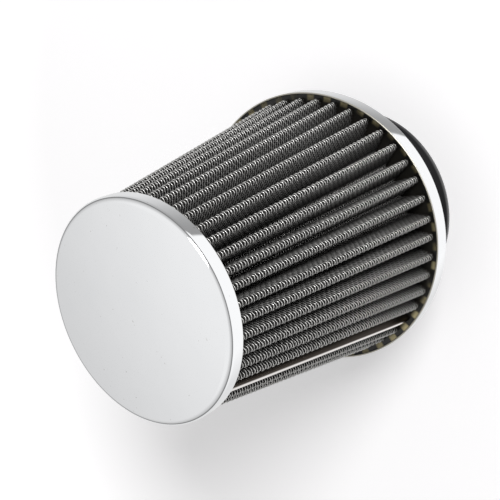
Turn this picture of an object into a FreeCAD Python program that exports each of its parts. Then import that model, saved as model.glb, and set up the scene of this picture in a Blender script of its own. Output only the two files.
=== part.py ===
import FreeCAD, Part
import math
import os

from FreeCAD import Vector

# A conical clamp-on air filter, standing on its neck with the cap on top.
# Z is the filter's axis, and the origin is the centre of the neck's mouth. Millimetres and degrees.

# Rubber neck and base
NECK_BORE = 88.9
NECK_WALL = 4.55
NECK_LENGTH = 34.7
NECK_LIP_HEIGHT = 1.7
NECK_LIP_WIDTH = 4.0
NECK_LIP_ROUND = 1.2
NECK_ROOT_BEVEL = 3.0
BASE_FLOOR = 3.0
COLLAR_WALL = 3.0
COLLAR_RISE = 2.5

# Chromed base band
BAND_SHEET = 0.8
BAND_WIDTH = 9.0
BAND_TURN_IN = 4.5
BAND_BEVEL = 0.8

# Pleated cone: wire cloth and filter cloth, folded together as one sheet
WIRE_CLOTH = 0.8
FILTER_CLOTH = 0.9
PLEAT_DEPTH = 13.0
CONE_LENGTH = 112.6
INNER_FOLD_PITCH = 4.65
FOLD_FLATS = 4

# Gaps between the cone and what it stands in
COLLAR_GAP = 2.55
BAND_GAP = 1.2
CAP_GAP = 0.5
BASE_RECESS = 3.0
CAP_RECESS = 1.5

# Seam strip, folded over one tight pleat
SEAM_ANGLE = 205.2
SEAM_FOLD_RADIUS = 1.1
CLIP_SHEET = 0.4
CLIP_LEG = 6.0

# Chromed end cap
CAP_DIAMETER = 90.5
CAP_SHEET = 0.8
CAP_HEIGHT = 7.3
CAP_CORNER = 2.5

# Flats in a rounded corner of a turned piece
CORNER_FLATS = 2

# Radii, worked outward from the bore
bore_radius = NECK_BORE / 2
neck_radius = bore_radius + NECK_WALL
lip_radius = neck_radius + NECK_LIP_HEIGHT
collar_radius = bore_radius + COLLAR_WALL
base_inner_radius = collar_radius + COLLAR_GAP
base_crest_radius = base_inner_radius + PLEAT_DEPTH
band_inner_radius = base_crest_radius + BAND_GAP
band_radius = band_inner_radius + BAND_SHEET
turn_in_radius = band_radius - BAND_TURN_IN
cap_radius = CAP_DIAMETER / 2
cap_inner_radius = cap_radius - CAP_SHEET
cap_crest_radius = cap_inner_radius - CAP_GAP
cap_end_inner_radius = cap_crest_radius - PLEAT_DEPTH

# Heights, worked upward from the neck's mouth
rear_z = NECK_LENGTH
base_underside_z = rear_z + BAND_SHEET
trough_z = base_underside_z + BASE_FLOOR
band_front_z = rear_z + BAND_WIDTH
cone_bottom_z = band_front_z - BASE_RECESS
collar_top_z = cone_bottom_z + COLLAR_RISE
cap_rear_z = band_front_z + CONE_LENGTH
cone_top_z = cap_rear_z + CAP_RECESS
cap_top_z = cap_rear_z + CAP_HEIGHT
cap_underside_z = cap_top_z - CAP_SHEET

# The folds stand as close as the inner ones allow at the narrow end
sheet_thickness = WIRE_CLOTH + FILTER_CLOTH
narrowest_fold_circle = 2 * math.pi * (cap_end_inner_radius + sheet_thickness)
PLEATS = int(narrowest_fold_circle / INNER_FOLD_PITCH)


def polar(radius, angle):
    """The point at a radius and an angle round the axis."""
    return Vector(radius * math.cos(math.radians(angle)), radius * math.sin(math.radians(angle)), 0)


def turned(points):
    """A ring turned from a half-section, given as (radius, height) points."""
    section = [Vector(radius, 0, z) for radius, z in points]
    face = Part.Face(Part.makePolygon(section + section[:1]))
    return face.revolve(Vector(0, 0, 0), Vector(0, 0, 1), 360)


def eased(radius, z, size, side):
    """The points of an outer corner rounded in flats. side is 1 below the corner's height and -1 above it."""
    points = []
    for step in range(CORNER_FLATS + 1):
        angle = math.pi / 2 * step / CORNER_FLATS
        reach = radius - size + size * math.cos(angle)
        points.append((reach, z - side * size + side * size * math.sin(angle)))
    return points


def rim(shape, radius, z):
    """The round edges of a turned shape at a radius and a height."""
    found = []
    for edge in shape.Edges:
        if isinstance(edge.Curve, Part.Circle):
            centre = edge.Curve.Center
            if abs(edge.Curve.Radius - radius) < 1e-6 and abs(centre.z - z) < 1e-6:
                found.append(edge)
    return found


def inner_tangent(crest, crest_radius, valley, valley_radius, side):
    """The normal of a flank that leaves a crest fold on one side and reaches the next valley fold."""
    run = valley - crest
    lean = math.acos((crest_radius + valley_radius) / run.Length)
    heading = math.atan2(run.y, run.x) + side * lean
    return Vector(math.cos(heading), math.sin(heading), 0)


def fold(centre, radius, start, middle, end):
    """The flats of one fold, from the normal start through middle to the normal end. A sharp fold has none."""
    if radius == 0:
        return []
    arc = Part.Arc(centre + start * radius, centre + middle * radius, centre + end * radius)
    points = arc.toShape().discretize(FOLD_FLATS + 1)
    return [Part.makeLine(*flat) for flat in zip(points, points[1:])]


def crest_folds(crest_circle):
    """Each crest fold of a section: its angle, its centre and its outer radius. The seam's comes first."""
    folds = []
    for number in range(PLEATS):
        angle = SEAM_ANGLE + number * 360 / PLEATS
        radius = SEAM_FOLD_RADIUS if number == 0 else sheet_thickness
        covered = CLIP_SHEET if number == 0 else 0
        folds.append((angle, polar(crest_circle - covered - radius, angle), radius))
    return folds


def valley_fold(crest_circle, crest_angle, side):
    """The centre of the valley fold on one side of a crest."""
    return polar(crest_circle - PLEAT_DEPTH + sheet_thickness, crest_angle + side * 180 / PLEATS)


def pleated_section(crest_circle, z, inside):
    """The closed line of the folded sheet's outer face, or of its inner one.

    The outer face is round over the crests and sharp in the valleys, and the inner face the other way round.
    """
    crests = crest_folds(crest_circle)
    valley_radius = sheet_thickness if inside else 0
    edges = []
    for number, (angle, crest, fold_radius) in enumerate(crests):
        _, next_crest, next_fold_radius = crests[(number + 1) % PLEATS]
        crest_radius = 0 if inside else fold_radius
        next_radius = 0 if inside else next_fold_radius
        before = valley_fold(crest_circle, angle, -1)
        valley = valley_fold(crest_circle, angle, 1)
        arriving = inner_tangent(crest, crest_radius, before, valley_radius, 1)
        leaving = inner_tangent(crest, crest_radius, valley, valley_radius, -1)
        rising = inner_tangent(next_crest, next_radius, valley, valley_radius, 1)
        inward = polar(-1, angle + 180 / PLEATS)
        edges += fold(crest, crest_radius, arriving, polar(1, angle), leaving)
        edges.append(Part.makeLine(crest + leaving * crest_radius, valley - leaving * valley_radius))
        edges += fold(valley, valley_radius, -leaving, inward, -rising)
        edges.append(Part.makeLine(valley - rising * valley_radius, next_crest + rising * next_radius))
    wire = Part.Wire(edges)
    wire.translate(Vector(0, 0, z))
    return wire


def closed(faces):
    """The solid that a full set of faces bounds."""
    shell = Part.makeShell(faces)
    shell.sewShape()
    solid = Part.makeSolid(shell)
    if solid.Volume < 0:
        solid.reverse()
    return solid


cone_ends = ((base_crest_radius, cone_bottom_z), (cap_crest_radius, cone_top_z))


def pleated_cone():
    """The folded sheet: ruled outer and inner skins, and the flat ring that closes each end."""
    outer = [pleated_section(circle, z, False) for circle, z in cone_ends]
    inner = [pleated_section(circle, z, True) for circle, z in cone_ends]
    faces = Part.makeLoft(outer, False, True).Faces
    faces += Part.makeLoft(inner, False, True).Faces
    for ring in zip(outer, inner):
        faces += Part.makeFace(list(ring), "Part::FaceMakerBullseye").Faces
    return closed(faces)


def clip_leg(crest_circle, side):
    """One leg of the folded strip: the pleat's normal there, where its face starts, and the way down it."""
    angle, crest, inside = crest_folds(crest_circle)[0]
    valley = valley_fold(crest_circle, angle, side)
    normal = inner_tangent(crest, inside, valley, 0, -side)
    top = crest + normal * inside
    return normal, top, valley - top


def clip_section(crest_circle, z):
    """The strip's outline over the seam pleat. Its legs cover the same share of the pleat's face all along."""
    angle, crest, inside = crest_folds(crest_circle)[0]
    outward = polar(1, angle)
    cover = CLIP_LEG / clip_leg(base_crest_radius, 1)[2].Length
    near, near_top, near_run = clip_leg(crest_circle, -1)
    far, far_top, far_run = clip_leg(crest_circle, 1)
    near_end = near_top + near_run * cover
    far_end = far_top + far_run * cover
    edges = [
        Part.makeLine(near_end + near * CLIP_SHEET, near_top + near * CLIP_SHEET),
        *fold(crest, inside + CLIP_SHEET, near, outward, far),
        Part.makeLine(far_top + far * CLIP_SHEET, far_end + far * CLIP_SHEET),
        Part.makeLine(far_end + far * CLIP_SHEET, far_end),
        Part.makeLine(far_end, far_top),
        *fold(crest, inside, far, outward, near),
        Part.makeLine(near_top, near_end),
        Part.makeLine(near_end, near_end + near * CLIP_SHEET),
    ]
    wire = Part.Wire(edges)
    wire.translate(Vector(0, 0, z))
    return wire


def seam_clip():
    """The folded strip that closes the pleated sheet into a cone."""
    wires = [clip_section(circle, z) for circle, z in cone_ends]
    faces = Part.makeLoft(wires, False, True).Faces
    faces += [Part.Face(wire) for wire in wires]
    return closed(faces)


def rubber_neck():
    """Moulded base: a plain neck with a lip at its mouth, and a trough round the bore for the potting."""
    ring = turned([
        (bore_radius, 0),
        *reversed(eased(lip_radius, 0, NECK_LIP_ROUND, -1)),
        (lip_radius, NECK_LIP_WIDTH),
        (neck_radius, NECK_LIP_WIDTH + NECK_LIP_HEIGHT),
        (neck_radius, rear_z),
        (turn_in_radius, rear_z),
        (turn_in_radius, base_underside_z),
        (band_inner_radius, base_underside_z),
        (band_inner_radius, trough_z),
        (collar_radius, trough_z),
        (collar_radius, collar_top_z),
        (bore_radius, collar_top_z),
    ])
    return ring.makeChamfer(NECK_ROOT_BEVEL, rim(ring, neck_radius, rear_z))


def base_band():
    """Chromed ring round the base, its rear edge turned in under the rubber."""
    ring = turned([
        (turn_in_radius, rear_z),
        (band_radius, rear_z),
        (band_radius, band_front_z),
        (band_inner_radius, band_front_z),
        (band_inner_radius, base_underside_z),
        (turn_in_radius, base_underside_z),
    ])
    return ring.makeChamfer(BAND_BEVEL, rim(ring, band_radius, rear_z))


def base_potting():
    """Sealing compound that fills the trough and carries the cone's wide end."""
    return turned([
        (collar_radius, trough_z),
        (band_inner_radius, trough_z),
        (band_inner_radius, cone_bottom_z),
        (collar_radius, cone_bottom_z),
    ])


# The cap is one sheet thick round its corner, so a flat stands for the round inside it
cap_inner_flat = (CAP_CORNER - CAP_SHEET) * (2 - math.sqrt(2))


def end_cap():
    """Pressed cap: a flat disc with a rounded corner and a plain skirt."""
    return turned([
        (0, cap_top_z),
        (0, cap_underside_z),
        (cap_inner_radius - cap_inner_flat, cap_underside_z),
        (cap_inner_radius, cap_underside_z - cap_inner_flat),
        (cap_inner_radius, cap_rear_z),
        (cap_radius, cap_rear_z),
        *eased(cap_radius, cap_top_z, CAP_CORNER, 1),
    ])


def cap_potting():
    """Sealing compound in the cap, which carries the cone's narrow end."""
    return turned([
        (0, cap_underside_z),
        (0, cone_top_z),
        (cap_inner_radius, cone_top_z),
        (cap_inner_radius, cap_underside_z - cap_inner_flat),
        (cap_inner_radius - cap_inner_flat, cap_underside_z),
    ])


os.makedirs("parts", exist_ok=True)
makers = (rubber_neck, base_band, base_potting, pleated_cone, seam_clip, cap_potting, end_cap)
for make in makers:
    shape = make()
    shape.exportStep(f"parts/{make.__name__}.step")
    print(f"{make.__name__}: {len(shape.Solids)} solid, {shape.Volume:.0f} mm3, valid {shape.isValid()}")
print(f"{PLEATS} pleats, band {2 * band_radius:.1f} mm across, {cap_top_z:.1f} mm tall")
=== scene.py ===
# %% [markdown]
# A conical clamp-on air filter, dressed piece by piece over its solid model. The filter stands on its
# rubber neck with the cap on top, which is how the solid model is stored. The photograph shows it lying
# down, so the camera is rolled instead of the filter. Every cell makes one piece or one finish and prints
# what it made.

# %% Load the solid model as a fixed frame
import math
import bpy
import numpy as np
from mathutils import Matrix, Vector


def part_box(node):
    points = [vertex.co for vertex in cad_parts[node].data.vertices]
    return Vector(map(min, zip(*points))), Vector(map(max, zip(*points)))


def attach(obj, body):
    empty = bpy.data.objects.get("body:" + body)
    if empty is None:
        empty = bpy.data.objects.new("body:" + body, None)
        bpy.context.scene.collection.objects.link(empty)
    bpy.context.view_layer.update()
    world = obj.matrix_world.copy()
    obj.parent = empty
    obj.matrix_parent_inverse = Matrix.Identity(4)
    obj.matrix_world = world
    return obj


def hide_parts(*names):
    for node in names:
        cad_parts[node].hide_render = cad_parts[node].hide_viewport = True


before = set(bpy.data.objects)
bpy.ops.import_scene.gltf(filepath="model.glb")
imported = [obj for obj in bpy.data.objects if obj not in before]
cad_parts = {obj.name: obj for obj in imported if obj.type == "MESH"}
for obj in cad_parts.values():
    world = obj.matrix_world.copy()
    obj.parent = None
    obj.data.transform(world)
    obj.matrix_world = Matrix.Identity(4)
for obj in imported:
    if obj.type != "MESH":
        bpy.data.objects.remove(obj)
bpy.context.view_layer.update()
MM = 0.001
print("solid model:", sorted(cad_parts))

# %% [markdown]
# The sizes that the finishes need come from the boxes of the solids: radii from their widths and heights
# from their ends. What can't be read from a box, such as the thickness of the plate, is written as its
# real size where it is first needed.

# %% Sizes from the frame
def radius_of(node):
    """Half the width of a round node."""
    low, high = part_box(node)
    return (high.y - low.y) / 2


def ends_of(node):
    """The lowest and the highest point of a node."""
    low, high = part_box(node)
    return low.z, high.z


band_radius = radius_of("base_band")
cap_radius = radius_of("end_cap")
rear_z, band_front_z = ends_of("base_band")
cone_bottom_z, cone_top_z = ends_of("pleated_cone")
cap_rear_z, cap_top_z = ends_of("end_cap")
collar_top_z = ends_of("rubber_neck")[1]
SHEET_METAL = 0.8 * MM
CAP_GAP = 0.5 * MM
base_crest_radius = radius_of("pleated_cone")
cap_crest_radius = cap_radius - SHEET_METAL - CAP_GAP
print(f"band {2000 * band_radius:.1f} mm, cap {2000 * cap_radius:.1f} mm, tall {1000 * cap_top_z:.1f} mm")

# %% [markdown]
# Finishes are node trees, and most of their nodes are plain sums. A small class wraps a socket, so that
# sums are written as Python expressions and each one adds its Math node. Any other node comes from one
# method, which sets the node's own settings first and then its sockets.

# %% Shader sums as Python expressions
class Term:
    """One shader value. Operators on it add Math nodes to its tree."""

    def __init__(self, tree, socket):
        self.tree = tree
        self.socket = socket

    def sum(self, operation, *values):
        return self.tree.node("Math", {"operation": operation}, *values)

    def __add__(self, other):
        return self.sum("ADD", self, other)

    def __sub__(self, other):
        return self.sum("SUBTRACT", self, other)

    def __rsub__(self, other):
        return self.sum("SUBTRACT", other, self)

    def __mul__(self, other):
        return self.sum("MULTIPLY", self, other)

    __radd__ = __add__
    __rmul__ = __mul__


class Tree:
    """A node tree that is being written."""

    def __init__(self, tree):
        self.tree = tree
        tree.nodes.clear()

    def node(self, kind, settings=None, *values, out=0, **named):
        """Adds a node: its settings, then its sockets in order, then its sockets by name."""
        made = self.tree.nodes.new("ShaderNode" + kind)
        for name, value in (settings or {}).items():
            if name == "stops":
                self.set_stops(made.color_ramp, value)
            else:
                setattr(made, name, value)
        for socket, value in zip(made.inputs, values):
            self.feed(socket, value)
        for name, value in named.items():
            self.feed(made.inputs[name.replace("_", " ")], value)
        return Term(self, made.outputs[out]) if made.outputs else None

    def feed(self, socket, value):
        if isinstance(value, Term):
            self.tree.links.new(value.socket, socket)
        elif value is not None:
            socket.default_value = value

    @staticmethod
    def set_stops(ramp, stops):
        while len(ramp.elements) < len(stops):
            ramp.elements.new(1)
        for element, (place, grey) in zip(ramp.elements, stops):
            element.position = place
            element.color = (grey, grey, grey, 1)

    def blend(self, factor, first, second):
        """A colour between two colours."""
        made = self.tree.nodes.new("ShaderNodeMix")
        made.data_type = "RGBA"
        for name, value in (("Factor_Float", factor), ("A_Color", first), ("B_Color", second)):
            self.feed(next(s for s in made.inputs if s.identifier == name), value)
        return Term(self, next(s for s in made.outputs if s.identifier == "Result_Color"))

    def place(self):
        """The point being shaded, in the object's own metres."""
        return self.node("TexCoord", None, out=3)

    def height(self):
        """How high the point being shaded lies."""
        return self.node("SeparateXYZ", None, self.place(), out=2)

    def reach(self):
        """How far the point being shaded lies from the filter's axis."""
        across = self.node("VectorMath", {"operation": "MULTIPLY"}, self.place(), (1, 1, 0))
        return self.node("VectorMath", {"operation": "LENGTH"}, across, out=1)

    def noise(self, scale, detail=2.0, roughness=0.5):
        """Soft noise from 0 to 1, with its scale in waves per metre."""
        return self.node(
            "TexNoise", None, Vector=self.place(), Scale=scale, Detail=detail, Roughness=roughness)

    def ramp(self, value, *stops):
        """A value reshaped by a ramp of (place, grey) stops."""
        return self.node("ValToRGB", {"stops": stops}, value)


def finish(name, build, **plain):
    """A material with one Principled shader: plain sets even sockets, and build returns varying ones."""
    material = bpy.data.materials.new(name)
    material.use_nodes = True
    tree = Tree(material.node_tree)
    varying = build(tree)
    shader = tree.node("BsdfPrincipled", None, **plain, **varying)
    tree.node("OutputMaterial", None, Surface=shader)
    return material


def bump(tree, height, distance, strength=1.0):
    """A normal from a height, with the height's full swing in metres."""
    return tree.node("Bump", None, Strength=strength, Distance=distance, Height=height)


print("shader terms ready")

# %% [markdown]
# Three kinds of mesh make the whole filter. A lathe turns a section round the axis, for the cap, the band
# and the neck. A loft joins sections that have the same number of points, for the folded sheet and its
# strip. A bundle of thin tubes follows many wires at once. All three hand arrays to Blender in one go.

# %% Mesh makers
def piece(name, points, quads, maps, material, slot, sharp_deg=30):
    """A mesh object from point, quad and map arrays, with smooth shading apart from its sharp edges."""
    mesh = bpy.data.meshes.new(name)
    points = np.asarray(points, np.float32).reshape(-1, 3)
    quads = np.asarray(quads, np.int32).reshape(-1, 4)
    mesh.vertices.add(len(points))
    mesh.vertices.foreach_set("co", points.ravel())
    mesh.loops.add(quads.size)
    mesh.loops.foreach_set("vertex_index", quads.ravel())
    mesh.polygons.add(len(quads))
    mesh.polygons.foreach_set("loop_start", np.arange(0, quads.size, 4, dtype=np.int32))
    mesh.update(calc_edges=True)
    flat = mesh.uv_layers.new(name="OFBake")
    flat.uv.foreach_set("vector", np.asarray(maps, np.float32).ravel())
    mesh.shade_smooth()
    if sharp_deg:
        mesh.set_sharp_from_angle(angle=math.radians(sharp_deg))
    mesh.materials.append(material)
    made = bpy.data.objects.new(name, mesh)
    bpy.context.scene.collection.objects.link(made)
    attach(made, "root")
    return made


def grid(rows, columns, closed_rows=False, closed_columns=False):
    """The quads of a grid of points, wrapped round where it is closed, and their places on a flat map."""
    down = rows if closed_rows else rows - 1
    across = columns if closed_columns else columns - 1
    r, c = np.meshgrid(np.arange(down), np.arange(across), indexing="ij")
    corners = ((r, c), (r, c + 1), (r + 1, c + 1), (r + 1, c))
    quads = np.stack([(y % rows) * columns + x % columns for y, x in corners], -1)
    maps = np.stack([np.stack([x / across, y / down], -1) for y, x in corners], -2)
    return quads.reshape(-1, 4), maps.reshape(-1, 4, 2)


def count(made):
    """The triangles in a piece."""
    return sum(len(p.vertices) - 2 for p in made.data.polygons)


print("mesh makers ready")

# %% [markdown]
# A turned piece starts as its section. The corners are rounded in the section itself and not by a bevel
# modifier, so the number of steps in each arc is known, and a reflection runs smoothly round the corner.

# %% Lathe
def rounded(corners, steps=6):
    """A section line from (radius, z, rounding) corners, each rounded by an arc tangent to both sides."""
    points = [np.array(c[:2], float) for c in corners]
    line = []
    for k, (_, _, rounding) in enumerate(corners):
        corner, before, after = points[k], points[k - 1], points[(k + 1) % len(points)]
        if rounding == 0:
            line.append(corner)
            continue
        a = (before - corner) / np.linalg.norm(before - corner)
        b = (after - corner) / np.linalg.norm(after - corner)
        half = math.acos(float(np.clip(a @ b, -1, 1))) / 2
        middle = corner + (a + b) / np.linalg.norm(a + b) * rounding / math.sin(half)
        start = corner + a * rounding / math.tan(half) - middle
        end = corner + b * rounding / math.tan(half) - middle
        sweep = math.pi - 2 * half
        for step in range(steps + 1):
            share = step / steps
            first = math.sin((1 - share) * sweep) / math.sin(sweep)
            second = math.sin(share * sweep) / math.sin(sweep)
            line.append(middle + first * start + second * end)
    return np.array(line)


LATHE_STEPS = 288


def lathe(name, section, material, slot, sharp_deg=30):
    """A closed section, as (radius, z) points, turned round the axis."""
    turn = np.linspace(0, 2 * math.pi, LATHE_STEPS, endpoint=False)
    radius, z = section[:, 0], section[:, 1]
    points = np.stack([
        np.cos(turn)[:, None] * radius,
        np.sin(turn)[:, None] * radius,
        np.broadcast_to(z, (LATHE_STEPS, len(z))),
    ], -1)
    return piece(name, points, *grid(LATHE_STEPS, len(z), True, True), material, slot, sharp_deg)


print("lathe:", LATHE_STEPS, "steps to a turn")

# %% [markdown]
# Chrome plate is a mirror, so its look is what it reflects, and the material itself only needs the small
# faults of a real plated pressing: a faint waviness that bends reflections, a haze of fine polishing
# marks that changes the gloss from place to place, a few specks, and a duller cut edge.

# %% Chrome plate
EDGE_ROUND = 0.38 * MM


def cut_edge(tree, edge_z):
    """From 0 to 1 where the plate's rolled-over cut edge is, at a height edge_z."""
    away = tree.node("Math", {"operation": "ABSOLUTE"}, tree.height() - edge_z)
    return tree.ramp(away * (1 / EDGE_ROUND), (0.6, 1.0), (1.0, 0.0))


def chrome(tree):
    waves = tree.noise(90.0, 1.0)
    haze = tree.noise(700.0, 4.0, 0.7)
    tone = tree.blend(tree.noise(40.0), (0.92, 0.93, 0.945, 1), (0.965, 0.97, 0.98, 1))
    specks = tree.ramp(tree.noise(620.0, 1.0), (0.77, 0.0), (0.81, 1.0))
    dusty = tree.blend(specks * 0.4, tone, (0.45, 0.43, 0.40, 1))
    edges = cut_edge(tree, band_front_z) + cut_edge(tree, cap_rear_z)
    return {
        "Base Color": tree.blend(edges, dusty, (0.50, 0.48, 0.42, 1)),
        "Roughness": 0.035 + haze * 0.05 + edges * 0.35,
        "Normal": bump(tree, waves, 0.03 * MM),
    }


chrome_plate = finish("chrome_plate", chrome, Metallic=1.0)
print("chrome plate ready")

# %% [markdown]
# The cap is one pressing: a flat disc, a rounded corner and a short plain skirt. The solid has the same
# section, but its facets would show in a mirror, so it is turned again with many more steps and a rounded
# skirt edge.

# %% End cap
CAP_CORNER = 2.5 * MM
HUB_RADIUS = 0.01 * MM
cap_section = rounded([
    (HUB_RADIUS, cap_top_z, 0),
    (cap_radius, cap_top_z, CAP_CORNER),
    (cap_radius, cap_rear_z, EDGE_ROUND),
    (cap_radius - SHEET_METAL, cap_rear_z, EDGE_ROUND),
    (cap_radius - SHEET_METAL, cap_top_z - SHEET_METAL, CAP_CORNER - SHEET_METAL),
    (HUB_RADIUS, cap_top_z - SHEET_METAL, 0),
], 10)
end_cap = lathe("chrome_cap", cap_section, chrome_plate, "chrome_plate")
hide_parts("end_cap")
print("cap:", count(end_cap), "triangles")

# %% [markdown]
# The base band is a strip of the same plate, rolled into a ring, with its rear edge turned in under the
# rubber.

# %% Base band
TURN_IN = 4.5 * MM
BAND_CORNER = 1.2 * MM
band_section = rounded([
    (band_radius - SHEET_METAL, band_front_z, EDGE_ROUND),
    (band_radius, band_front_z, EDGE_ROUND),
    (band_radius, rear_z, BAND_CORNER),
    (band_radius - TURN_IN, rear_z, EDGE_ROUND),
    (band_radius - TURN_IN, rear_z + SHEET_METAL, 0),
    (band_radius - SHEET_METAL, rear_z + SHEET_METAL, 0),
], 8)
base_band = lathe("chrome_band", band_section, chrome_plate, "chrome_plate")
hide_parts("base_band")
print("band:", count(base_band), "triangles")

# %% [markdown]
# The neck is moulded rubber: matt black with a faint grain from the mould, and a soft sheen at the lip's
# edge: a clear coat there, and a colour painted a little lighter as a painted sheen.

# %% Rubber neck
LIP_WIDTH = 4.0 * MM


def rubber(tree):
    grain = tree.noise(2600.0, 3.0, 0.6)
    bloom = tree.noise(55.0, 3.0)
    # The lip's lower edge gets a lighter colour as a painted sheen, plus a clear coat and less roughness.
    wear_and_sheen = tree.ramp(tree.height() * (1 / LIP_WIDTH) * 0.5, (0.18, 1.0), (0.48, 0.0))
    black = tree.blend(bloom, (0.008, 0.008, 0.009, 1), (0.016, 0.016, 0.017, 1))
    return {
        "Base Color": tree.blend(wear_and_sheen, black, (0.035, 0.035, 0.036, 1)),
        "Roughness": 0.70 + bloom * 0.12 - wear_and_sheen * 0.25,
        "Coat Weight": wear_and_sheen,
        "Normal": bump(tree, grain, 0.06 * MM),
    }


neck_rubber = finish("neck_rubber", rubber, Specular_IOR_Level=0.12, Coat_Roughness=0.22)
NECK_BORE_RADIUS = 44.45 * MM
NECK_RADIUS = 49.0 * MM
LIP_RADIUS = 50.7 * MM
COLLAR_WALL = 3.0 * MM
TROUGH_FLOOR = 3.0 * MM
LIP_SLOPE = 1.7 * MM
LIP_CORNER = 1.2 * MM
SLOPE_ROUND = 1.0 * MM
ROOT_ROUND = 3.0 * MM
SOFT_EDGE = 0.6 * MM
collar_radius = NECK_BORE_RADIUS + COLLAR_WALL
underside_z = rear_z + SHEET_METAL
trough_z = underside_z + TROUGH_FLOOR
inside_band = band_radius - SHEET_METAL
neck_section = rounded([
    (NECK_BORE_RADIUS, 0, SOFT_EDGE),
    (LIP_RADIUS, 0, LIP_CORNER),
    (LIP_RADIUS, LIP_WIDTH, SLOPE_ROUND),
    (NECK_RADIUS, LIP_WIDTH + LIP_SLOPE, SLOPE_ROUND),
    (NECK_RADIUS, rear_z, ROOT_ROUND),
    (band_radius - TURN_IN, rear_z, 0),
    (band_radius - TURN_IN, underside_z, 0),
    (inside_band, underside_z, 0),
    (inside_band, trough_z, 0),
    (collar_radius, trough_z, 0),
    (collar_radius, collar_top_z, SOFT_EDGE),
    (NECK_BORE_RADIUS, collar_top_z, SOFT_EDGE),
], 6)
rubber_neck = lathe("rubber_base", neck_section, neck_rubber, "neck_rubber")
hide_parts("rubber_neck")
print("neck:", count(rubber_neck), "triangles")

# %% [markdown]
# The ends of the pleats are set in sealing compound. It is poured, so it is smooth with a few specks. It
# is painted nearly black, as painted shade from the pleats. Its own olive colour shows only by the band,
# in a small patch between two pleats, where the painted shade is left off.

# %% Sealing compound
PLEATS = 44
SEAM_DEG = 205.2
OLIVE_WIDTH = 4.0 * MM


def between_pleats(tree):
    """From 0 in line with a crest to 1 halfway to the next one."""
    x, y = (tree.node("SeparateXYZ", None, tree.place(), out=k) for k in (0, 1))
    turn = tree.node("Math", {"operation": "ARCTAN2"}, y, x)
    return 0.5 - tree.node("Math", {"operation": "COSINE"}, (turn - math.radians(SEAM_DEG)) * PLEATS) * 0.5


def compound(tree):
    clouds = tree.noise(120.0, 3.0)
    specks = tree.ramp(tree.noise(1500.0, 2.0), (0.62, 0.0), (0.72, 1.0))
    patch_noise = tree.ramp(tree.noise(75.0, 2.0), (0.35, 0.0), (0.55, 1.0))
    # Painted shade: the compound is near black all round, and only the olive patches by the band, between
    # two pleats, are left unshaded.
    patches = tree.ramp(between_pleats(tree), (0.5, 0.0), (0.8, 1.0)) * patch_noise
    olive = tree.blend(clouds, (0.42, 0.36, 0.19, 1), (0.58, 0.50, 0.28, 1))
    by_band = tree.ramp((tree.reach() - inside_band) * (1 / OLIVE_WIDTH) + 1, (0.15, 0.0), (0.6, 1.0))
    unshaded = tree.blend(specks * 0.35, olive, (0.06, 0.045, 0.02, 1))
    return {
        "Base Color": tree.blend(by_band * patches, (0.010, 0.009, 0.007, 1), unshaded),
        "Roughness": 0.28 + clouds * 0.2,
        "Normal": bump(tree, tree.noise(260.0, 2.0), 0.3 * MM),
    }


potting = finish("sealing_compound", compound)
for node in ("base_potting", "cap_potting"):
    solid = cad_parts[node]
    solid.data.materials.clear()
    solid.data.materials.append(potting)
print("sealing compound on base and cap")

# %% [markdown]
# The cone is one long sheet, pleated like a paper fan and closed into a cone. Wire cloth lies outside and
# filter cloth behind it, folded together. Each fold is an arc: round over the crest outside, tight in the
# valley. One function gives the section of any layer, by its depth below the sheet's outer face, at the
# base or at the cap. The layers between are straight lines from one end to the other, as on a real
# pleated cone.

# %% The folded section
SHEET = 1.7 * MM
WIRE_CLOTH = 0.8 * MM
PLEAT_DEPTH = 13.0 * MM
SEAM_FOLD = 1.1 * MM
CLIP_SHEET = 0.4 * MM
CREST_STEPS = 10
FLANK_STEPS = 3
VALLEY_STEPS = 3
wobble = np.random.default_rng(7)
ANGLE_WOBBLE = math.radians(0.35)
RADIUS_WOBBLE = 0.25 * MM
ENDS = ("base", "cap")
end_circle = {"base": base_crest_radius, "cap": cap_crest_radius}
crest_turn = math.radians(SEAM_DEG) + np.arange(PLEATS) * 2 * math.pi / PLEATS
uneven_turn = {end: wobble.uniform(-ANGLE_WOBBLE, ANGLE_WOBBLE, PLEATS) for end in ENDS}
uneven_reach = {end: wobble.uniform(0, RADIUS_WOBBLE, PLEATS) for end in ENDS}
fold_radius = np.full(PLEATS, SHEET)
fold_radius[0] = SEAM_FOLD
covered = np.zeros(PLEATS)
covered[0] = CLIP_SHEET


def around(radius, angle):
    """Points at a radius and an angle."""
    return np.stack([radius * np.cos(angle), radius * np.sin(angle)], -1)


def wrapped(angle):
    """An angle brought between minus and plus half a turn."""
    return (angle + math.pi) % (2 * math.pi) - math.pi


def arc(centre, radius, start, sweep, steps):
    """Points along one arc for each pleat, and their directions from the arc's centre."""
    out = around(1.0, start[:, None] + sweep[:, None] * np.linspace(0, 1, steps + 1))
    return centre[:, None, :] + radius[:, None, None] * out, out


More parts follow.
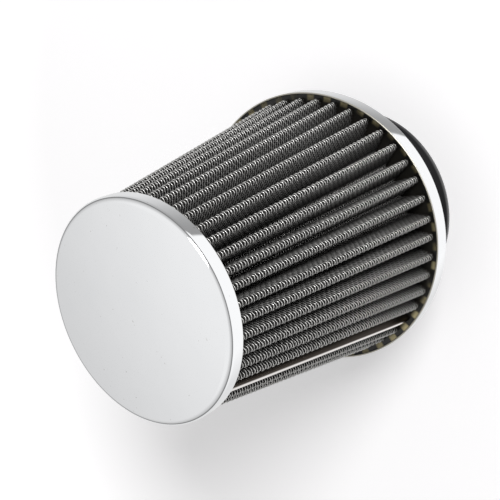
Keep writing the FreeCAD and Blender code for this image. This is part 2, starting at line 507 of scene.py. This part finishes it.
def folded_section(end, depth):
    """Each pleat's line from valley to valley, and its outward directions, as (pleat, step, xy)."""
    angle = crest_turn + uneven_turn[end]
    crest = around(end_circle[end] - uneven_reach[end] - covered - fold_radius, angle)
    valley_angle = angle + wrapped(np.roll(angle, -1) - angle) / 2
    valley = around(np.full(PLEATS, end_circle[end] - PLEAT_DEPTH + SHEET), valley_angle)
    before = np.roll(valley, 1, 0)
    before_angle = np.roll(valley_angle, 1)
    crest_arc = fold_radius * (1 - depth / SHEET)
    valley_arc = np.full(PLEATS, depth)

    def flank(fold, side):
        run = fold - crest
        lean = np.arccos((crest_arc + depth) / np.linalg.norm(run, axis=-1))
        return np.arctan2(run[:, 1], run[:, 0]) + side * lean

    rising = flank(before, 1)
    leaving = flank(valley, -1)
    half_turn = math.pi
    foot, foot_out = arc(
        before, valley_arc, before_angle + half_turn, wrapped(rising - before_angle), VALLEY_STEPS)
    sweep = wrapped(leaving - angle) - wrapped(rising - angle)
    top, top_out = arc(crest, crest_arc, rising, sweep, CREST_STEPS)
    heel, heel_out = arc(
        valley, valley_arc, leaving + half_turn, wrapped(valley_angle - leaving), VALLEY_STEPS)
    between = np.linspace(0, 1, FLANK_STEPS + 1)[1:-1, None]
    up = foot[:, -1:] * (1 - between) + top[:, :1] * between
    down = top[:, -1:] * (1 - between) + heel[:, :1] * between
    up_out = np.broadcast_to(top_out[:, :1], up.shape)
    down_out = np.broadcast_to(top_out[:, -1:], down.shape)
    line = np.concatenate([foot, up, top, down, heel], 1)
    return line, np.concatenate([-foot_out, up_out, top_out, down_out, -heel_out], 1)


print("folded section:", folded_section("base", WIRE_CLOTH)[0].shape)

# %% [markdown]
# Just above the band the crests dip inward over their last few millimetres, where the compound holds
# them. The dip is a smooth curve in z that every layer shares, so the layers stay together.

# %% The filter cloth
DIP = 0.7 * MM
DIP_LENGTH = 3.0 * MM


def raised(base, cap, z):
    """Points between the base's and the cap's section at heights z, as (row, ..., xyz)."""
    share = ((z - cone_bottom_z) / (cone_top_z - cone_bottom_z)).reshape(-1, *[1] * base.ndim)
    flat = base * (1 - share) + cap * share
    dip = DIP * np.clip(1 - (z - cone_bottom_z) / DIP_LENGTH, 0, 1) ** 2
    reach = np.linalg.norm(flat, axis=-1, keepdims=True)
    flat = flat * (1 - dip.reshape(share.shape) / reach)
    height = np.broadcast_to(z.reshape(share.shape), reach.shape)
    return np.concatenate([flat, height], -1)


def cloth_fibres(tree):
    fibre = tree.noise(1900.0, 3.0, 0.65)
    patch = tree.noise(160.0, 2.0)
    return {
        "Base Color": tree.blend(patch, (0.006, 0.006, 0.006, 1), (0.013, 0.012, 0.011, 1)),
        "Normal": bump(tree, fibre, 0.3 * MM),
    }


filter_cloth = finish("filter_cloth", cloth_fibres, Roughness=0.9, Specular_IOR_Level=0.2)
INNER_INSET = 0.05 * MM
sheet_rows = np.concatenate([
    cone_bottom_z + np.linspace(0, DIP_LENGTH, 5, endpoint=False),
    np.linspace(cone_bottom_z + DIP_LENGTH, cone_top_z, 10),
])
faces = []
for depth in (WIRE_CLOTH, SHEET - INNER_INSET):
    lines = [folded_section(end, depth)[0][:, :-1].reshape(-1, 2) for end in ENDS]
    faces.append(raised(*lines, sheet_rows))
wall = np.concatenate([faces[0], faces[1][::-1]])
cloth = piece("filter_cloth", wall, *grid(*wall.shape[:2], True, True), filter_cloth, "wire_faced_cloth", 0)
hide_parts("pleated_cone")
print("filter cloth:", count(cloth), "triangles")

# %% [markdown]
# The wire cloth is what gives the filter its look, so its wires are real. Thin straight wires run along
# the pleats. Thicker wires cross them, over one and under the next, and follow every fold. A bump map
# could draw this from far away, but the knuckles on each crest catch the light one by one, and only
# geometry does that. The tubes have three sides, because each is a fraction of a millimetre thick, and
# take short steps only where they bend over a crest. The folds don't fall on the same wire in each pleat,
# so the weave is shifted a little from pleat to pleat. The cloth is cut into sectors to keep each mesh
# small.

# %% Places on the wire cloth
WIRES_PER_PLEAT = 18
CROSS_PITCH = 1.37 * MM
CROSS_RADIUS = 0.23 * MM
STRAIGHT_RADIUS = 0.10 * MM
weave_shift = wobble.uniform(-0.5, 0.5, PLEATS)


def spaced(line, out, stops):
    """Each pleat's points and outward directions at stops, counted in wires from its first valley."""
    length = np.linalg.norm(np.diff(line, axis=1), axis=-1).cumsum(1)
    length = np.concatenate([np.zeros((PLEATS, 1)), length], 1)
    places = np.empty((2, PLEATS, len(stops), 2))
    rise = 1 - np.abs(stops / WIRES_PER_PLEAT * 2 - 1)
    before = (np.roll(weave_shift, 1) + weave_shift) / 2
    after = np.roll(before, -1)
    for pleat in range(PLEATS):
        side = np.where(stops < WIRES_PER_PLEAT / 2, before[pleat], after[pleat])
        shifted = stops + side + (weave_shift[pleat] - side) * rise
        at = shifted / WIRES_PER_PLEAT * length[pleat, -1]
        for kind, values in enumerate((line, out)):
            for axis in range(2):
                places[kind, pleat, :, axis] = np.interp(at, length[pleat], values[pleat, :, axis])
    return places


def on_wire_cloth(stops, z):
    """Points and outward directions on the wire cloth's middle, as (row, pleat, stop, xyz)."""
    base, cap = (spaced(*folded_section(end, WIRE_CLOTH / 2), stops) for end in ENDS)
    points = raised(base[0], cap[0], z)
    share = ((z - cone_bottom_z) / (cone_top_z - cone_bottom_z)).reshape(-1, 1, 1, 1)
    out = base[1] * (1 - share) + cap[1] * share
    out = np.concatenate([out, np.zeros((*out.shape[:-1], 1))], -1)
    return points, out / np.linalg.norm(out, axis=-1, keepdims=True)


row_count = int((cone_top_z - cone_bottom_z) / CROSS_PITCH)
row_z = cone_bottom_z + (np.arange(row_count) + 0.5) * (cone_top_z - cone_bottom_z) / row_count
print(f"weave: {row_count} wires across, {PLEATS * WIRES_PER_PLEAT} along")

# %% [markdown]
# Wires are painted brightest on the crests, partly because they are rubbed there and partly as a painted
# highlight, duller grey on the way down, nearly black deeper in the folds as painted shade, and bright
# again
# on the floors of the folds as painted light. So the finish reads how far below the crests a point lies:
# the crests' cone is a straight line in z. Towards the base the flank colour is darker, and the last few
# millimetres are painted nearly black as painted shade. The thin straight wires lie under the others, so
# they are painted dark all over as painted shade.

# %% Wire finish
def depth_below_crests(tree):
    """How far a point lies inside the cone of the crests, in millimetres."""
    slope = (cap_crest_radius - base_crest_radius) / (cone_top_z - cone_bottom_z)
    crests = tree.height() * slope + (base_crest_radius - cone_bottom_z * slope)
    return (crests - tree.reach()) * (1 / MM)


FOOT_SHADE = 3.5 * MM
BASE_FADE = 35.0 * MM
DEEP_MM = 12.5


def wire_metal(tree):
    tarnish = tree.noise(220.0, 3.0)
    # Painted shade: the last few millimetres above the band are painted nearly black.
    foot_shade = tree.ramp((tree.height() - cone_bottom_z) * (1 / FOOT_SHADE), (0.2, 1.0), (1.0, 0.0))
    depth = depth_below_crests(tree) * (1 / DEEP_MM)
    # Crests painted bright, partly rubbed and partly a painted highlight; flanks grey; deeper folds nearly
    # black as painted shade.
    flank = tree.ramp(depth, (0.03, 0.0), (0.18, 1.0))
    valley = tree.ramp(depth, (0.3, 0.0), (0.8, 1.0))
    # The flank colour is darker towards the base.
    toward_base = tree.ramp((tree.height() - cone_bottom_z) * (1 / BASE_FADE), (0.1, 1.0), (1.0, 0.0))
    bright = tree.blend(tarnish, (0.72, 0.715, 0.695, 1), (0.88, 0.87, 0.85, 1))
    grey = tree.blend(toward_base, (0.46, 0.455, 0.445, 1), (0.19, 0.187, 0.18, 1))
    wear_and_sheen = tree.blend(flank, bright, grey)
    dark = tree.blend(valley, wear_and_sheen, (0.05, 0.049, 0.047, 1))
    # The floors of the folds are painted bright again as painted light.
    fold_floor = tree.ramp(depth, (0.72, 0.0), (0.86, 1.0))
    light_and_shade = tree.blend(fold_floor, dark, bright)
    return {
        "Base Color": tree.blend(foot_shade, light_and_shade, (0.035, 0.032, 0.028, 1)),
        "Roughness": 0.24 + tarnish * 0.12 + flank * 0.18,
    }


cloth_wire = finish("cloth_wire", wire_metal, Metallic=0.75)


# The straight wires are painted dark all over as painted shade, because they lie under the cross wires.
def dark_wire_metal(tree):
    tarnish = tree.noise(260.0, 3.0)
    return {
        "Base Color": tree.blend(tarnish, (0.06, 0.059, 0.057, 1), (0.12, 0.118, 0.114, 1)),
        "Roughness": 0.42 + tarnish * 0.16,
    }


dark_wire = finish("dark_wire", dark_wire_metal, Metallic=0.55)
print("wire finishes ready")

# %% [markdown]
# Now the wires themselves. A plain weave is a sine: a cross wire swings out over one straight wire and in
# under the next, and its neighbour does the opposite. Curve objects with a bevel could be swept along
# each wire, but arrays make all the tubes of a sector in one step. Under the seam strip the swing is
# smaller, so that no wire comes through it.

# %% Woven wire cloth
SIDES = 3
SECTORS = 5
WEAVE = 0.165 * MM
SEAM_WEAVE = 0.05 * MM
crest_stop = WIRES_PER_PLEAT / 2
flank_stops = np.arange(0.5, crest_stop - 3.5)
crest_stops = np.arange(crest_stop - 3.5, crest_stop + 3.75, 0.5)
cross_stops = np.concatenate([flank_stops, crest_stops, WIRES_PER_PLEAT - flank_stops[::-1]])


def tubes(paths, outward, radius):
    """Points, quads and maps of thin tubes along many paths of equal length, as (path, step, xyz)."""
    along = np.gradient(paths, axis=1)
    along /= np.linalg.norm(along, axis=-1, keepdims=True)
    sideways = np.cross(along, outward)
    sideways /= np.linalg.norm(sideways, axis=-1, keepdims=True)
    upward = np.cross(sideways, along)
    turn = math.pi / 2 + np.arange(SIDES) * 2 * math.pi / SIDES
    ring = np.cos(turn)[:, None] * sideways[..., None, :] + np.sin(turn)[:, None] * upward[..., None, :]
    points = paths[..., None, :] + radius * ring
    number, steps = paths.shape[:2]
    quads, maps = grid(steps, SIDES, False, True)
    first = (np.arange(number) * steps * SIDES).reshape(-1, 1, 1)
    maps = np.stack([
        np.broadcast_to(maps[None, ..., 1], (number, *maps.shape[:2])),
        (np.arange(number).reshape(-1, 1, 1) + maps[None, ..., 0]) / number,
    ], -1)
    return points.reshape(-1, 3), (quads + first).reshape(-1, 4), maps.reshape(-1, 4, 2)


straight, straight_out = on_wire_cloth(np.arange(WIRES_PER_PLEAT) + 0.5, sheet_rows)
cross, cross_out = on_wire_cloth(cross_stops, row_z)
over_under = np.sin(math.pi * np.add.outer(np.arange(row_count), cross_stops))
swing = np.full(PLEATS, WEAVE)
swing[0] = SEAM_WEAVE
cross = cross + swing[:, None, None] * over_under[:, None, :, None] * cross_out


def sector_of_cross_wires(number, pleats):
    """The cross wires of one sector, up to the first wire of the next."""
    following = (pleats[-1] + 1) % PLEATS
    paths, outward = (
        np.concatenate([a[:, pleats].reshape(row_count, -1, 3), a[:, following, :1]], 1)
        for a in (cross, cross_out))
    made = tubes(paths, outward, CROSS_RADIUS)
    return piece(f"wire_cloth_{number + 1}", *made, cloth_wire, "wire_faced_cloth", 0)


for number, pleats in enumerate(np.array_split(np.arange(PLEATS), SECTORS)):
    made = sector_of_cross_wires(number, pleats)
    print(made.name, count(made), "triangles")

paths, outward = (
    a.reshape(len(sheet_rows), -1, 3).swapaxes(0, 1) for a in (straight, straight_out))
made = piece("straight_wires", *tubes(paths, outward, STRAIGHT_RADIUS), dark_wire, "wire_faced_cloth", 0)
print(made.name, count(made), "triangles")

# %% [markdown]
# Where the two ends of the folded sheet meet, a strip of thin metal is folded over them. It stands in a
# crest's place and is the one smooth line among the wires. Its outside is the same fold as the sheet's, a
# strip's thickness further out.

# %% Seam strip
CLIP_LEG_STEPS = 2
STRIP_SIDE_MM = 2.0
STRIP_INSET = 0.2 * MM
STRIP_ROWS = 24


def strip_metal(tree):
    streak = tree.noise(320.0, 2.0)
    # Painted highlight and shade: the top of the fold is painted bright and the legs below it dark brown.
    shaded_legs = tree.ramp(depth_below_crests(tree) * (1 / STRIP_SIDE_MM), (0.20, 0.0), (0.38, 1.0))
    bright = tree.blend(streak, (0.80, 0.765, 0.74, 1), (0.92, 0.89, 0.87, 1))
    return {
        "Base Color": tree.blend(shaded_legs, bright, (0.05, 0.042, 0.036, 1)),
        "Roughness": 0.12 + streak * 0.06 + shaded_legs * 0.15,
    }


clip_metal = finish("strip_metal", strip_metal, Metallic=1.0)


def strip_side(end, depth):
    """The strip's line over the seam's crest at a depth, from one leg's foot to the other's."""
    line, _ = folded_section(end, depth)
    first = VALLEY_STEPS + FLANK_STEPS - CLIP_LEG_STEPS + 1
    return line[0, first:len(line[0]) - first]


strip_rows = np.linspace(cone_bottom_z + STRIP_INSET, cone_top_z - STRIP_INSET, STRIP_ROWS)
skins = [raised(*[strip_side(end, depth) for end in ENDS], strip_rows) for depth in (-CLIP_SHEET, 0.0)]
loop = np.concatenate([skins[0], skins[1][:, ::-1]], 1)
clip = piece("seam_strip", loop, *grid(*loop.shape[:2], False, True), clip_metal, "clip_metal", 40)
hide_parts("seam_clip")
print("seam strip:", count(clip), "triangles")

# %% [markdown]
# The camera comes from the photograph: the circles of the cap, the band and the neck fix where it stood,
# measured in radii of the band. Its roll stands the filter as it lies in the picture.

# %% Camera
CAMERA_OFFSET = Vector((0.0574, -3.822, 5.021))
RIGHT = Vector((-0.42419, -0.67763, -0.60073))
UPWARD = Vector((0.90557, -0.31742, -0.28140))
FORWARD = Vector((0.0, 0.66338, -0.74829))
PICTURE_SIDE = 500
FOCAL_PIXELS = 859.75
camera_data = bpy.data.cameras.new("camera")
camera_data.sensor_width = 36
camera_data.lens = camera_data.sensor_width * FOCAL_PIXELS / PICTURE_SIDE
camera_data.clip_start = 0.01
camera = bpy.data.objects.new("camera", camera_data)
bpy.context.scene.collection.objects.link(camera)
turned = Matrix((RIGHT, UPWARD, -FORWARD)).transposed().to_4x4()
camera_place = Vector((0, 0, band_front_z)) + CAMERA_OFFSET * band_radius
camera.matrix_world = Matrix.Translation(camera_place) @ turned
bpy.context.scene.camera = camera
print("camera", [round(x, 3) for x in camera.location], "lens", round(camera_data.lens, 1))

# %% [markdown]
# The studio is a white floor and one large soft lamp. The floor glows a little to the camera, so that it
# reads as white where the lamp reaches it and keeps the filter's shadow. Further out, where no shadow
# falls, it glows more, and so it runs into the white background without an edge.

# %% Floor and lamp
FLOOR_SIZE = 8.0
floor_mesh = bpy.data.meshes.new("floor")
corner = FLOOR_SIZE / 2
floor_corners = [(-corner, -corner, 0), (corner, -corner, 0), (corner, corner, 0), (-corner, corner, 0)]
floor_mesh.from_pydata(floor_corners, [], [(0, 1, 2, 3)])
floor = bpy.data.objects.new("floor", floor_mesh)
bpy.context.scene.collection.objects.link(floor)
floor_material = bpy.data.materials.new("floor_white")
floor_material.use_nodes = True
floor_tree = Tree(floor_material.node_tree)
FLOOR_GLOW = 0.27
SHADOW_REACH = 0.24
to_camera = floor_tree.node("LightPath", None, out=0)
matt = floor_tree.node("BsdfDiffuse", None, (0.90, 0.89, 0.90, 1))
far = floor_tree.ramp(floor_tree.reach(), (SHADOW_REACH, 0.0), (3 * SHADOW_REACH, 1.0))
glow_tone = floor_tree.blend(to_camera * (FLOOR_GLOW + far * (1 - FLOOR_GLOW)), (0, 0, 0, 1), (1, 1, 1, 1))
glow = floor_tree.node("Emission", None, glow_tone, 1.0)
floor_tree.node("OutputMaterial", None, floor_tree.node("AddShader", None, matt, glow))
floor_mesh.materials.append(floor_material)
floor.visible_glossy = False

LAMP_AIM = Vector((0, 0, 0.06))
LAMP_TURN = math.radians(-64)
LAMP_RISE = math.radians(32)
LAMP_DISTANCE = 2.5
LAMP_SIZE = 1.1
LAMP_POWER = 52.0
lamp_way = Vector((
    math.cos(LAMP_RISE) * math.cos(LAMP_TURN),
    math.cos(LAMP_RISE) * math.sin(LAMP_TURN),
    math.sin(LAMP_RISE),
))
lamp_data = bpy.data.lights.new("soft_lamp", "AREA")
lamp_data.shape = "DISK"
lamp_data.size = LAMP_SIZE
lamp_data.energy = LAMP_POWER
lamp = bpy.data.objects.new("soft_lamp", lamp_data)
lamp.location = LAMP_AIM + lamp_way * LAMP_DISTANCE
lamp.rotation_euler = (-lamp_way).to_track_quat("-Z", "Y").to_euler()
bpy.context.scene.collection.objects.link(lamp)
bpy.context.scene.view_settings.view_transform = "Standard"
print("lamp at", [round(x, 2) for x in lamp.location])

# %% [markdown]
# Chrome shows the room. The surround is white to the camera. To a mirror it is a studio: a pale ceiling
# that falls off to a darker horizon, and below it a bright side with a sharp edge among greyer walls. To
# matt surfaces it is an even, plain light.

# %% Surround
AMBIENT = 0.42
EDGE_TURN = -45
world = bpy.data.worlds.new("surround")
world.use_nodes = True
bpy.context.scene.world = world
sky = Tree(world.node_tree)
way = sky.node("TexCoord", None, out=0)
height = sky.node("SeparateXYZ", None, way, out=2)
level_way = sky.node("VectorMath", {"operation": "MULTIPLY"}, way, (1, 1, 0))
level_way = sky.node("VectorMath", {"operation": "NORMALIZE"}, level_way)


def facing(turn_deg):
    """How far a direction faces a turn about the axis, from 0 to 1."""
    turn = math.radians(turn_deg)
    there = (math.cos(turn), math.sin(turn), 0)
    dot = sky.node("VectorMath", {"operation": "DOT_PRODUCT"}, level_way, there, out=1)
    return dot * 0.5 + 0.5


edge = sky.ramp(facing(EDGE_TURN - 90), (0.49, 0.0), (0.515, 1.0))
fade = sky.ramp(facing(-90), (0.30, 0.0), (0.62, 1.0))
grey = sky.ramp(facing(EDGE_TURN), (0.6, 0.77), (0.79, 0.64), (0.93, 0.46), (1.0, 0.32))
walls = sky.blend(edge * fade, grey, (1, 1, 1, 1))
ceiling = sky.ramp(height, (0.0, 0.22), (0.13, 0.24), (0.24, 0.5), (0.55, 0.69), (0.75, 0.88))
upper = sky.ramp(height * 2 + 0.5, (0.26, 0.0), (0.32, 1.0))
studio = sky.blend(upper, walls, ceiling)
to_camera, to_glossy, to_through = (sky.node("LightPath", None, out=k) for k in (0, 3, 6))
seen = sky.blend(to_glossy, (1, 1, 1, 1), studio)
shown = sky.node("Math", {"operation": "MINIMUM"}, to_camera + to_glossy + to_through, 1.0)
tone = sky.blend(shown, (AMBIENT, AMBIENT, AMBIENT, 1), seen)
sky.node("OutputWorld", None, sky.node("Background", None, tone, 1.0))
print("surround ready")
